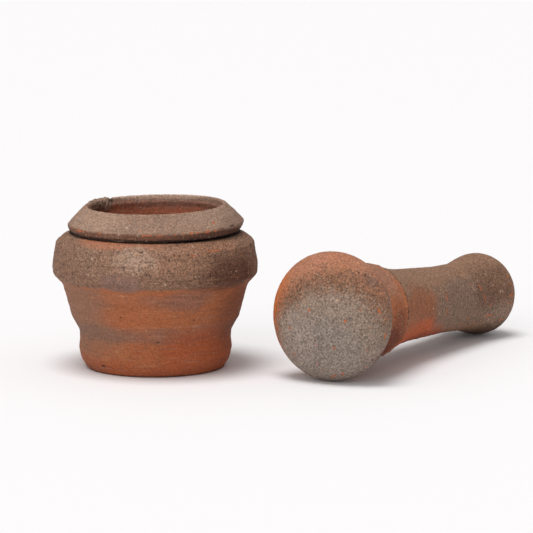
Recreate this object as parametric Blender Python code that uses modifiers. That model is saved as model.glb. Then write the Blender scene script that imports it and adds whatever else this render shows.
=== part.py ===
"""Mortar with a loose rim collar, and a two-part pestle lying on the floor beside it.

Metres, +Z up.  The origin is the middle of the mortar's flat base, on the floor.
Every piece is turned: an outline of corner points with rounded corners is spun by
a Screw modifier.  Outline points are (radius, height, rounding radius).
"""
import math

import bpy

# ---- shared -----------------------------------------------------------------
TURN_STEPS = 64               # flats around every turned piece
ARC_STEP = math.radians(16)   # largest turn between two points of a rounded corner
ARC_SHARE = 0.48              # most of a straight run that one rounded corner may use
MERGE_DISTANCE = 0.00002      # joins the ends of a spun outline on the axis
SEAT_GAP = 0.0003             # gap between faces that touch
EDGE_ROUND = 0.0006           # small rounding of crisp edges

# ---- mortar body ------------------------------------------------------------
# Radii are measured in from the shoulder; heights down from the top or up from the base.
SHOULDER_RADIUS = 0.0501      # widest circle of the mortar
BODY_HEIGHT = 0.0667          # flat top that carries the rim collar
SHOULDER_TOP_INSET = 0.0018   # upper corner of the shoulder band
SHOULDER_TOP_DROP = 0.0051
SHOULDER_TOP_ROUND = 0.0025
SHOULDER_DROP = 0.0169        # the widest circle, below the top
SHOULDER_ROUND = 0.0050
SHOULDER_LOW_DROP = 0.0209    # underside corner of the shoulder band
SHOULDER_LOW_ROUND = 0.0026
SHOULDER_TAPER = 0.0001       # the band narrows by this much to its underside corner
UNDERSIDE_INSET = 0.0047      # where the shoulder's underside turns down
UNDERSIDE_DROP = 0.0255
UNDERSIDE_ROUND = 0.0060
BELLY_INSET = 0.0085          # step between the crease and the shoulder
BELLY_HEIGHT = 0.0272
BELLY_ROUND = 0.0070
CREASE_INSET = 0.0131         # top of the broad crease above the foot
CREASE_HEIGHT = 0.0176
CREASE_ROUND = 0.0040
FOOT_INSET = 0.0126           # rounded bulge just above the base
FOOT_HEIGHT = 0.0090
FOOT_ROUND = 0.0060
HEEL_INSET = 0.0141           # the foot turns in towards the rest face
HEEL_HEIGHT = 0.0042
HEEL_ROUND = 0.0050
BASE_INSET = 0.0167           # flat rest face
BODY_WALL = 0.0111            # shoulder to the widest circle of the bowl
BOWL_DROP = 0.0187            # that circle, below the top
BOWL_FLOOR = 0.0100           # clay left under the bowl
BOWL_STEPS = 14               # points up the bowl's wall
MOUTH_INSET = 0.0025          # the mouth is narrower than the bowl by this much
TOP_WIDTH = 0.0055            # width of the flat top around the mouth

BOWL_RADIUS = SHOULDER_RADIUS - BODY_WALL
MOUTH_RADIUS = BOWL_RADIUS - MOUTH_INSET
TOP_RADIUS = MOUTH_RADIUS + TOP_WIDTH

# ---- rim collar -------------------------------------------------------------
SPIGOT_CLEARANCE = 0.0008     # all round, inside the mortar's mouth
SPIGOT_DEPTH = 0.0048         # how far the spigot drops into the mouth
SPIGOT_WALL = 0.0027          # clay between the spigot's outside and the bore
SPIGOT_CHAMFER = 0.0010       # slope inside its lower end
CHAMFER_WIDTH = 0.0006
BORE_TOP = 0.0080             # where the wall starts to lean in towards the lip
LIP_REACH = 0.0007            # the lip stands in from the bore
LIP_RISE = 0.0100
LIP_ROUND = 0.0015
CREST_SETBACK = 0.0004        # the crest stands out from the bore
CREST_RISE = 0.0129           # crest above the collar's underside
CREST_ROUND = 0.0008
SEAT_INSET = 0.0011           # the collar's underside ends inside the flat top's edge
BEVEL_INSET = 0.0020          # middle of the bevel between crest and ridge
BEVEL_RISE = 0.0086
BEVEL_ROUND = 0.0060
RIDGE_OVERHANG = 0.0022       # the ridge stands out over the underside
RIDGE_RISE = 0.0039
RIDGE_ROUND = 0.0014

SPIGOT_RADIUS = MOUTH_RADIUS - SPIGOT_CLEARANCE
COLLAR_BORE = SPIGOT_RADIUS - SPIGOT_WALL
SEAT_RADIUS = TOP_RADIUS - SEAT_INSET

# ---- pestle head, measured along its axis from its widest circle --------------
HEAD_RADIUS = 0.0311          # widest circle of the head
DOME_HEIGHT = 0.0157          # rounded grinding face in front of that circle
DOME_STEPS = 12
SIDE_INSET = 0.0002           # the head's side, just behind its widest circle
SIDE_BACK = 0.0024
SIDE_ROUND = 0.0080
EDGE_INSET = 0.0012           # crisp edge at the back of the head
EDGE_BACK = 0.0056
STEP_DEPTH = 0.0052           # foot of the step behind that edge
STEP_BACK = 0.0084
STEP_ROUND = 0.0015
NECK_RADIUS = 0.0231          # the head's end at the seam
NECK_LENGTH = 0.0351          # head's widest circle to the seam
NECK_TAPER = 0.0011           # the neck narrows by this much from the step to its middle
NECK_MIDDLE = 0.0156          # that middle, in front of the seam
NECK_ROUND = 0.0400
SEAM_ROUND = 0.0005

STEP_RADIUS = HEAD_RADIUS - STEP_DEPTH

# ---- pestle handle, measured on from the seam or back from the knob -----------
TENON_RADIUS = 0.0120         # peg of the handle inside the head
TENON_LENGTH = 0.0200
SEAM_STEP = 0.0015            # the handle starts this much inside the head's end
THROAT_REACH = 0.0080         # then it narrows quickly
THROAT_RADIUS = 0.0212
THROAT_ROUND = 0.0160
TAPER_REACH = 0.0180
TAPER_RADIUS = 0.0192
TAPER_ROUND = 0.0300
SHAFT_REACH = 0.0310
SHAFT_RADIUS = 0.0181
SHAFT_ROUND = 0.0900
WAIST_OF_HANDLE = 0.0167      # thinnest circle of the handle
WAIST_BACK = 0.0440
HANDLE_WAIST_ROUND = 0.2000
FLARE_RADIUS = 0.0172         # where it starts to flare into the knob
FLARE_BACK = 0.0210
FLARE_ROUND = 0.0500
CHEEK_INSET = 0.0006          # the knob's side, just in front of its widest circle
CHEEK_BACK = 0.0050
CHEEK_ROUND = 0.0200
TAIL_RADIUS = 0.0209          # widest circle of the handle's knob
TAIL_LENGTH = 0.1520          # head's widest circle to the knob's widest circle
TAIL_DOME = 0.0144            # rounded end beyond that circle
KNOB_STEPS = 9

# ---- where the pestle lies --------------------------------------------------
PESTLE_CLEARANCE = 0.0042     # across, from the mortar's shoulder to the head
PESTLE_Y = -0.0408            # middle of the head's widest circle
PESTLE_TURN = math.radians(59.6)

PESTLE_X = SHOULDER_RADIUS + PESTLE_CLEARANCE + HEAD_RADIUS

# ---- fired clay: base colour and roughness ------------------------------------
ORANGE = (0.27, 0.10, 0.045)
BROWN = (0.21, 0.13, 0.09)
GREY = (0.24, 0.19, 0.155)
UMBER = (0.19, 0.095, 0.06)
ROUGH = 0.85
ROUGHER = 0.88


def rounded(corners: list) -> list:
    """Outline through the corners, each with an arc of its own rounding radius."""
    outline = []
    last = len(corners) - 1
    for index, (radius, height, rounding) in enumerate(corners):
        if rounding <= 0.0 or index in (0, last):
            outline.append((radius, height))
            continue
        before = corners[index - 1]
        after = corners[index + 1]
        in_x, in_z = before[0] - radius, before[1] - height
        out_x, out_z = after[0] - radius, after[1] - height
        in_len, out_len = math.hypot(in_x, in_z), math.hypot(out_x, out_z)
        in_x, in_z = in_x / in_len, in_z / in_len
        out_x, out_z = out_x / out_len, out_z / out_len
        half = math.acos(max(-1.0, min(1.0, in_x * out_x + in_z * out_z))) / 2.0
        reach = min(rounding / math.tan(half), ARC_SHARE * in_len, ARC_SHARE * out_len)
        arc_radius = reach * math.tan(half)
        mid_x, mid_z = in_x + out_x, in_z + out_z
        mid_len = math.hypot(mid_x, mid_z)
        centre_x = radius + mid_x / mid_len * arc_radius / math.sin(half)
        centre_z = height + mid_z / mid_len * arc_radius / math.sin(half)
        start = math.atan2(height + in_z * reach - centre_z, radius + in_x * reach - centre_x)
        end = math.atan2(height + out_z * reach - centre_z, radius + out_x * reach - centre_x)
        sweep = (end - start + math.pi) % (2.0 * math.pi) - math.pi
        pieces = max(2, math.ceil(abs(sweep) / ARC_STEP))
        for step in range(pieces + 1):
            angle = start + sweep * step / pieces
            outline.append((centre_x + arc_radius * math.cos(angle),
                            centre_z + arc_radius * math.sin(angle)))
    return outline


def ellipse(radius: float, middle: float, rise: float, first: float, final: float, pieces: int) -> list:
    """Points of a half-width by rise ellipse between two angles, measured from level."""
    points = []
    for step in range(pieces + 1):
        angle = math.radians(first + (final - first) * step / pieces)
        points.append((max(0.0, radius * math.cos(angle)), middle + rise * math.sin(angle)))
    return points


def clay(name: str, colour: tuple, roughness: float) -> bpy.types.Material:
    """Unglazed clay finish."""
    material = bpy.data.materials.new(name)
    material.use_nodes = True
    shader = material.node_tree.nodes["Principled BSDF"]
    shader.inputs["Base Color"].default_value = (*colour, 1.0)
    shader.inputs["Roughness"].default_value = roughness
    shader.inputs["Metallic"].default_value = 0.0
    return material


def turned(name: str, outline: list, closed: bool, material: bpy.types.Material) -> bpy.types.Object:
    """Object whose outline, drawn at +X, is spun around Z by a Screw modifier."""
    count = len(outline)
    edges = [(index, index + 1) for index in range(count - 1)]
    if closed:
        edges.append((count - 1, 0))
    mesh = bpy.data.meshes.new(name)
    mesh.from_pydata([(radius, 0.0, height) for radius, height in outline], edges, [])
    mesh.materials.append(material)
    piece = bpy.data.objects.new(name, mesh)
    collection.objects.link(piece)
    spin = piece.modifiers.new("turn", "SCREW")
    spin.axis = "Z"
    spin.angle = 2.0 * math.pi
    spin.steps = TURN_STEPS
    spin.render_steps = TURN_STEPS
    spin.use_merge_vertices = True
    spin.merge_threshold = MERGE_DISTANCE
    spin.use_smooth_shade = False
    return piece


def body_outline() -> list:
    """Mortar body: bowl floor, up the inside, over the top, down the outside, base."""
    mouth_angle = math.degrees(math.acos(MOUTH_RADIUS / BOWL_RADIUS))
    bowl_middle = BODY_HEIGHT - BOWL_DROP
    bowl_depth = bowl_middle - BOWL_FLOOR
    bowl = ellipse(BOWL_RADIUS, bowl_middle, bowl_depth, -90.0, mouth_angle, BOWL_STEPS)
    outside = rounded([
        (MOUTH_RADIUS, BODY_HEIGHT, 0.0),
        (TOP_RADIUS, BODY_HEIGHT, EDGE_ROUND),
        (SHOULDER_RADIUS - SHOULDER_TOP_INSET, BODY_HEIGHT - SHOULDER_TOP_DROP, SHOULDER_TOP_ROUND),
        (SHOULDER_RADIUS, BODY_HEIGHT - SHOULDER_DROP, SHOULDER_ROUND),
        (SHOULDER_RADIUS - SHOULDER_TAPER, BODY_HEIGHT - SHOULDER_LOW_DROP, SHOULDER_LOW_ROUND),
        (SHOULDER_RADIUS - UNDERSIDE_INSET, BODY_HEIGHT - UNDERSIDE_DROP, UNDERSIDE_ROUND),
        (SHOULDER_RADIUS - BELLY_INSET, BELLY_HEIGHT, BELLY_ROUND),
        (SHOULDER_RADIUS - CREASE_INSET, CREASE_HEIGHT, CREASE_ROUND),
        (SHOULDER_RADIUS - FOOT_INSET, FOOT_HEIGHT, FOOT_ROUND),
        (SHOULDER_RADIUS - HEEL_INSET, HEEL_HEIGHT, HEEL_ROUND),
        (SHOULDER_RADIUS - BASE_INSET, 0.0, 0.0),
        (0.0, 0.0, 0.0),
    ])
    return bowl + outside


def collar_outline() -> list:
    """Rim collar, its underside at height 0: up the bore, over the crest, down the bevel."""
    return rounded([
        (COLLAR_BORE, SPIGOT_CHAMFER - SPIGOT_DEPTH, 0.0),
        (COLLAR_BORE, BORE_TOP, LIP_ROUND),
        (COLLAR_BORE - LIP_REACH, LIP_RISE, LIP_ROUND),
        (COLLAR_BORE + CREST_SETBACK, CREST_RISE, CREST_ROUND),
        (SEAT_RADIUS - BEVEL_INSET, BEVEL_RISE, BEVEL_ROUND),
        (SEAT_RADIUS + RIDGE_OVERHANG, RIDGE_RISE, RIDGE_ROUND),
        (SEAT_RADIUS, 0.0, EDGE_ROUND),
        (SPIGOT_RADIUS, 0.0, 0.0),
        (SPIGOT_RADIUS, -SPIGOT_DEPTH, EDGE_ROUND),
        (COLLAR_BORE + CHAMFER_WIDTH, -SPIGOT_DEPTH, 0.0),
    ])


def head_outline() -> list:
    """Pestle head, its widest circle at height 0, the handle's side upwards."""
    socket = TENON_RADIUS + SEAT_GAP
    socket_floor = NECK_LENGTH - TENON_LENGTH
    back = rounded([
        (0.0, socket_floor, 0.0),
        (socket, socket_floor, 0.0),
        (socket, NECK_LENGTH, 0.0),
        (NECK_RADIUS, NECK_LENGTH, SEAM_ROUND),
        (STEP_RADIUS - NECK_TAPER, NECK_LENGTH - NECK_MIDDLE, NECK_ROUND),
        (STEP_RADIUS, STEP_BACK, STEP_ROUND),
        (HEAD_RADIUS - EDGE_INSET, EDGE_BACK, EDGE_ROUND),
        (HEAD_RADIUS - SIDE_INSET, SIDE_BACK, SIDE_ROUND),
        (HEAD_RADIUS, 0.0, 0.0),
    ])
    dome = ellipse(HEAD_RADIUS, 0.0, DOME_HEIGHT, 0.0, -90.0, DOME_STEPS)
    return back + dome[1:]


def handle_outline() -> list:
    """Pestle handle in the head's own frame, knob at the top, tenon at the bottom."""
    knob = ellipse(TAIL_RADIUS, TAIL_LENGTH, TAIL_DOME, 90.0, 0.0, KNOB_STEPS)
    shoulder = NECK_LENGTH + SEAT_GAP
    shaft = rounded([
        (TAIL_RADIUS, TAIL_LENGTH, 0.0),
        (TAIL_RADIUS - CHEEK_INSET, TAIL_LENGTH - CHEEK_BACK, CHEEK_ROUND),
        (FLARE_RADIUS, TAIL_LENGTH - FLARE_BACK, FLARE_ROUND),
        (WAIST_OF_HANDLE, TAIL_LENGTH - WAIST_BACK, HANDLE_WAIST_ROUND),
        (SHAFT_RADIUS, NECK_LENGTH + SHAFT_REACH, SHAFT_ROUND),
        (TAPER_RADIUS, NECK_LENGTH + TAPER_REACH, TAPER_ROUND),
        (THROAT_RADIUS, NECK_LENGTH + THROAT_REACH, THROAT_ROUND),
        (NECK_RADIUS - SEAM_STEP, shoulder, EDGE_ROUND),
        (TENON_RADIUS, shoulder, 0.0),
        (TENON_RADIUS, shoulder - TENON_LENGTH, 0.0),
        (0.0, shoulder - TENON_LENGTH, 0.0),
    ])
    return knob + shaft[1:]


for old in list(bpy.data.objects):
    bpy.data.objects.remove(old, do_unlink=True)

collection = bpy.data.collections.new("mortar_and_pestle")
bpy.context.scene.collection.children.link(collection)

fired_orange = clay("fired_orange_clay", ORANGE, ROUGH)
fired_brown = clay("fired_brown_clay", BROWN, ROUGHER)
fired_grey = clay("fired_grey_clay", GREY, ROUGHER)
fired_umber = clay("fired_umber_clay", UMBER, ROUGH)

mortar_body = turned("mortar_body", body_outline(), False, fired_orange)

rim_collar = turned("rim_collar", collar_outline(), True, fired_brown)
rim_collar.location = (0.0, 0.0, BODY_HEIGHT + SEAT_GAP)

head_points = head_outline()
handle_points = handle_outline()
slope = math.asin((HEAD_RADIUS - TAIL_RADIUS) / TAIL_LENGTH)
lowest = min(-radius * math.cos(slope) - along * math.sin(slope)
             for radius, along in head_points + handle_points)
lie = (0.0, math.radians(90.0) + slope, PESTLE_TURN)
spot = (PESTLE_X, PESTLE_Y, -lowest)

pestle_head = turned("pestle_head", head_points, False, fired_grey)
pestle_head.location = spot
pestle_head.rotation_euler = lie

pestle_handle = turned("pestle_handle", handle_points, False, fired_umber)
pestle_handle.location = spot
pestle_handle.rotation_euler = lie
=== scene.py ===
"""Visual model of a clay mortar, its loose rim collar and its two-part pestle.

Every piece is thrown clay: an outline is spun into a fine mesh, then the marks of the
wheel, the hand, the kiln and use are pressed into it, and coarse grains of grog are set
in its skin.  Lengths are in metres; MM turns millimetres into metres.
"""
import logging
import math
import random
from dataclasses import dataclass, field
from enum import Enum

import bmesh
import bpy
from mathutils import Euler, Matrix, Vector, noise
from mathutils.kdtree import KDTree


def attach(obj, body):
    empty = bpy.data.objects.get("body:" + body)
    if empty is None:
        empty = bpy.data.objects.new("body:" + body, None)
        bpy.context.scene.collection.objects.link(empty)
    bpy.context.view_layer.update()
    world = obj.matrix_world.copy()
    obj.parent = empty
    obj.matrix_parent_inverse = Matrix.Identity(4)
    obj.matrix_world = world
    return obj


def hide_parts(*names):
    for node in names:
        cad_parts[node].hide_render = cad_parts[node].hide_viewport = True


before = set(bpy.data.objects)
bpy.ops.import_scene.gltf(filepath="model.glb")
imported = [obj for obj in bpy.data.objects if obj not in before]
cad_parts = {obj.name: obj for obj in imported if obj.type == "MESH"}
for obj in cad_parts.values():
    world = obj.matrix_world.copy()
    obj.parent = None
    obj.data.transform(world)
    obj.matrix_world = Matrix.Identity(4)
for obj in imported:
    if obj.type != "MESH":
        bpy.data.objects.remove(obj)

log = logging.getLogger("clay")

MM = 0.001
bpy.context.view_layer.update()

Colour = tuple[float, float, float]
Corner = tuple[float, float, float]
Point = tuple[float, float]
Run = tuple[list[Point], float]
Place = tuple[float, float, float]
Socket = bpy.types.NodeSocket

EMBER: Colour = (0.46, 0.125, 0.045)
# near-black colour that the pits are tinted to, darker than the clay round them
PIT_BLACK: Colour = (0.045, 0.024, 0.016)
GROG_WHITE: Colour = (0.60, 0.44, 0.31)
EVERYWHERE = 500.0      # a reach longer than any piece, in millimetres

# feature sizes of the clay's noises, in millimetres
DRIFT_SIZE = 22.0
BROAD_SIZE = 14.0
FRAY_SIZE = 4.0
SPECK_SIZE = 1.5
MOTTLE_SIZE = 5.0
GRIT_SIZE = 2.1
SAND_SIZE = 0.85
DARKEST = 0.12          # share of its colour that the darkest grain keeps
ROUGHNESS_SWING = 0.10
CLAY_SPECULAR = 0.28

GROG_HALF = (0.13, 0.27)    # smallest and largest half width of a grain, in millimetres
BIG_GROG = 1.5              # how much wider a big grain is
BIG_GROG_SHARE = 0.08
GROG_FLATNESS = 0.62


# ---- outlines and turning
def rounded(corners: list[Corner]) -> list[Point]:
    """Rounds the corners of an outline.

    Args:
        corners: radius, height and rounding radius of each corner, in millimetres.

    Returns:
        Radius and height of each point of the rounded outline, in metres.
    """
    outline: list[Point] = []
    for index, (radius, height, rounding) in enumerate(corners):
        if rounding <= 0.0 or index in (0, len(corners) - 1):
            outline.append((radius * MM, height * MM))
            continue
        corner = Vector((radius, height))
        back = Vector(corners[index - 1][:2]) - corner
        ahead = Vector(corners[index + 1][:2]) - corner
        half = back.angle(ahead) / 2.0
        reach = min(rounding / math.tan(half), 0.48 * back.length, 0.48 * ahead.length)
        arc = reach * math.tan(half)
        back.normalize()
        ahead.normalize()
        centre = corner + (back + ahead).normalized() * (arc / math.sin(half))
        start = corner + back * reach - centre
        end = corner + ahead * reach - centre
        sweep = start.angle_signed(end)
        steps = max(3, math.ceil(abs(sweep) / math.radians(7.0)))
        for step in range(steps + 1):
            turn = Matrix.Rotation(-sweep * step / steps, 2)
            point = centre + turn @ start
            outline.append((point.x * MM, point.y * MM))
    return outline


def ellipse(radius: float, middle: float, rise: float, first: float, final: float) -> list[Point]:
    """Points of an elliptical arc, sizes in millimetres and angles in degrees from level."""
    steps = max(4, math.ceil(abs(final - first) / 4.0))
    points: list[Point] = []
    for step in range(steps + 1):
        angle = math.radians(first + (final - first) * step / steps)
        points.append((max(0.0, radius * math.cos(angle)) * MM, (middle + rise * math.sin(angle)) * MM))
    return points


def evened(runs: list[Run]) -> list[Point]:
    """Walks an outline in even steps, so that the marks pressed in later have points to move.

    Args:
        runs: stretches of the outline, each with the length of its steps in millimetres.

    Returns:
        The outline with a point at every step; the ends of the stretches stay where they are.
    """
    walked = [runs[0][0][0]]
    for points, step in runs:
        spacing = step * MM * 1.0
        spare = 0.0
        for (r0, z0), (r1, z1) in zip(points, points[1:]):
            length = math.hypot(r1 - r0, z1 - z0)
            along = spacing - spare
            while along < length:
                share = along / length
                walked.append((r0 + (r1 - r0) * share, z0 + (z1 - z0) * share))
                along += spacing
            spare = (spare + length) % spacing if length > 0.0 else spare
        if len(walked) > 1 and math.dist(walked[-1], points[-1]) < 0.4 * spacing:
            walked.pop()
        walked.append(points[-1])
    return walked


def turned(outline: list[Point], steps: int, closed: bool) -> bmesh.types.BMesh:
    """Spins an outline once round Z.

    Args:
        outline: radius and height of each point, in metres.
        steps: facets round the piece.
        closed: whether the outline is a loop that stays clear of the axis.

    Returns:
        A closed mesh with its faces outward.
    """
    shape = bmesh.new()
    points = [shape.verts.new((radius, 0.0, height)) for radius, height in outline]
    edges = [shape.edges.new(pair) for pair in zip(points, points[1:])]
    if closed:
        edges.append(shape.edges.new((points[-1], points[0])))
    bmesh.ops.spin(shape, geom=points + edges, cent=(0.0, 0.0, 0.0), axis=(0.0, 0.0, 1.0),
                   dvec=(0.0, 0.0, 0.0), angle=2.0 * math.pi, steps=steps, use_merge=True)
    bmesh.ops.remove_doubles(shape, verts=shape.verts[:], dist=1e-6)
    bmesh.ops.recalc_face_normals(shape, faces=shape.faces[:])
    shape.normal_update()
    return shape


def smoothstep(low: float, high: float, value: float) -> float:
    """Rises softly from 0 at low to 1 at high."""
    share = min(1.0, max(0.0, (value - low) / (high - low)))
    return share * share * (3.0 - 2.0 * share)


def around(angle: float, radius: float, height: float) -> Place:
    """A place on a turned piece from its angle in degrees and its radius and height in millimetres."""
    turn = math.radians(angle)
    return (radius * math.cos(turn), radius * math.sin(turn), height)


def tangent(angle: float, rise: float = 0.0) -> Place:
    """The direction round a turned piece at an angle in degrees, climbing by rise."""
    turn = math.radians(angle)
    return (-math.sin(turn), math.cos(turn), rise)


# ---- marks in the clay
class MarkKind(Enum):
    """What a mark in the clay is, named as the mesh attribute that colours it."""

    CHIP = "chip"
    PIT = "pit"
    SCAR = "scar"

    def at(self, angle: float, radius: float, height: float, size: Point, depth: float, tint: float,
           rough: float = 0.35, rise: float = 0.0) -> "Mark":
        """A mark of this kind that runs round a turned piece, climbing by rise."""
        return Mark(self, around(angle, radius, height), size, depth, tangent(angle, rise), tint, rough)


CHIP, PIT, SCAR = MarkKind


@dataclass(frozen=True)
class Mark:
    """One dent, nick or scratch.

    Attributes:
        kind: what it is.
        middle: its place in the piece's own frame, in millimetres.
        size: half its length and half its width, in millimetres.
        depth: how deep it goes, in millimetres; negative stands proud.
        along: direction of its length in the piece's own frame.
        tint: how strongly it takes its colour, from 0 to 1.
        rough: how far noise breaks up its outline and its depth, from 0 to 1.
    """

    kind: MarkKind
    middle: Place
    size: Point
    depth: float
    along: Place
    tint: float
    rough: float = 0.35


@dataclass(frozen=True)
class Throwing:
    """What the wheel and the hand leave all over a turned piece, in millimetres.

    Attributes:
        wobble: how far it is out of round.
        ring_depth: depth of the finger rings.
        ring_pitch: height from one ring to the next.
        grain: depth of the coarse clay's grain.
        seed: moves the pattern, so that no two pieces match.
    """

    wobble: float
    ring_depth: float
    ring_pitch: float
    grain: float
    seed: float

    def push(self, place: Vector, coarse: float) -> float:
        """How far, in metres, a point of the skin moves outward where the clay is that coarse."""
        angle = math.atan2(place.y, place.x)
        round_x, round_y = math.cos(angle), math.sin(angle)
        height = place.z / MM
        offset = Vector((self.seed, -self.seed, self.seed * 0.5))
        wobble = noise.noise(Vector((round_x * 1.1, round_y * 1.1, height / 38.0)) + offset)
        spiral = height / self.ring_pitch + angle * 0.16
        rings = noise.noise(Vector((round_x * 0.7, round_y * 0.7, spiral)) + offset * 2.0)
        rings += 0.5 * noise.noise(Vector((round_x * 1.6, round_y * 1.6, spiral * 2.3)) + offset)
        grain = 0.6 * noise.noise(place * 270.0 + offset) + 1.1 * noise.noise(place * 700.0 - offset)
        return (self.wobble * wobble + self.ring_depth * rings + self.grain * coarse * grain) * MM


def press_marks(shape: bmesh.types.BMesh, marks: list[Mark]) -> None:
    """Presses marks into a mesh and tints their points.

    Args:
        shape: the mesh; it gets one float attribute for each kind of mark.
        marks: the marks, in the mesh's own frame.
    """
    layers = {kind: shape.verts.layers.float.new(kind.value) for kind in MarkKind}
    shape.verts.ensure_lookup_table()
    tree = KDTree(len(shape.verts))
    for vert in shape.verts:
        tree.insert(vert.co, vert.index)
    tree.balance()
    moves: dict[int, Vector] = {}
    for number, mark in enumerate(marks):
        along = Vector(mark.along).normalized()
        long_half, wide_half = mark.size[0] * MM, mark.size[1] * MM
        middle = tree.find(Vector(mark.middle) * MM)[0]
        for place, index, _ in tree.find_range(middle, max(long_half, wide_half) * 1.6):
            offset = place - middle
            run = offset.dot(along)
            across = (offset - along * run).length
            ragged = mark.rough * noise.noise(place * 1300.0 + Vector((number, 0.0, 0.0)))
            ragged += mark.rough * noise.noise(place * 520.0 + Vector((0.0, number, 0.0)))
            reach = math.hypot(run / long_half, across / wide_half) + ragged
            share = 1.0 - smoothstep(0.55, 1.15, reach)
            if share <= 0.0:
                continue
            vert = shape.verts[index]
            move = moves.setdefault(index, Vector((0.0, 0.0, 0.0)))
            move -= vert.normal * (mark.depth * MM * share * (1.0 + ragged))
            layer = layers[mark.kind]
            vert[layer] = max(vert[layer], share * mark.tint)
    for index, move in moves.items():
        shape.verts[index].co += move


# ---- clay finishes
@dataclass(frozen=True)
class KilnAndLightPatch:
    """A patch laid over the clay's colour: mostly where the kiln or the ash coloured the clay; a few are
    painted shade and one is painted light.

    Attributes:
        colour: its colour.
        middle: its middle in the piece's own frame, in millimetres.
        reach: its half-lengths along the three axes, in millimetres.
        soft: width of its edge, as a share of its reach.
        ragged: how far noise breaks its edge up.
        strength: how fully it covers what is under it, from 0 to 1.
        grit: how much of its edge is made of fine specks.
        coarse: how coarse the clay looks inside it; None leaves that as it was.
    """

    colour: Colour
    middle: Place
    reach: Place
    soft: float
    ragged: float
    strength: float
    grit: float = 0.25
    coarse: float | None = None


def girdle(colour: Colour, height: float, reach: float, *edge: float) -> KilnAndLightPatch:
    """A patch right round a piece at one height, used for kiln colour and for painted shade; edge holds the
    patch's other values in order.
    """
    return KilnAndLightPatch(colour, (0.0, 0.0, height), (EVERYWHERE, EVERYWHERE, reach), *edge)


@dataclass(frozen=True)
class ClayFinish:
    """Coarse unglazed clay, coloured by the fire, with painted shade and painted light laid over it in
    places.

    Attributes:
        name: the material's name.
        body: the clay's main colour.
        drift: the colour it drifts to in large soft patches.
        dust: the pale colour of its finest grains.
        ash: the dark colour of its pores and iron specks.
        kiln_and_light_patches: kiln patches and patches of painted shade and painted light, painted one
            over the other.
        coarse: how strongly its grain shows where no patch says otherwise.
        streak: how strongly the turning shows as streaks, from 0 to 1.
        streak_size: length of a streak and its thickness, in millimetres.
        spread: how much of the radius is added to the height where streaks are drawn.
        speckle: how many pale grains show, from 0 to 1.
        pepper: how many dark grains show, from 0 to 1.
        embers: how many orange grains show, from 0 to 1.
        roughness: the skin's roughness.
        tooth: height of the finest grain, in millimetres.
    """

    name: str
    body: Colour
    drift: Colour
    dust: Colour
    ash: Colour
    kiln_and_light_patches: tuple[KilnAndLightPatch, ...]
    coarse: float = 1.0
    streak: float = 0.35
    streak_size: Point = (26.0, 1.6)
    spread: float = 0.0
    speckle: float = 0.5
    pepper: float = 0.5
    embers: float = 0.2
    roughness: float = 0.86
    tooth: float = 0.30


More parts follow.
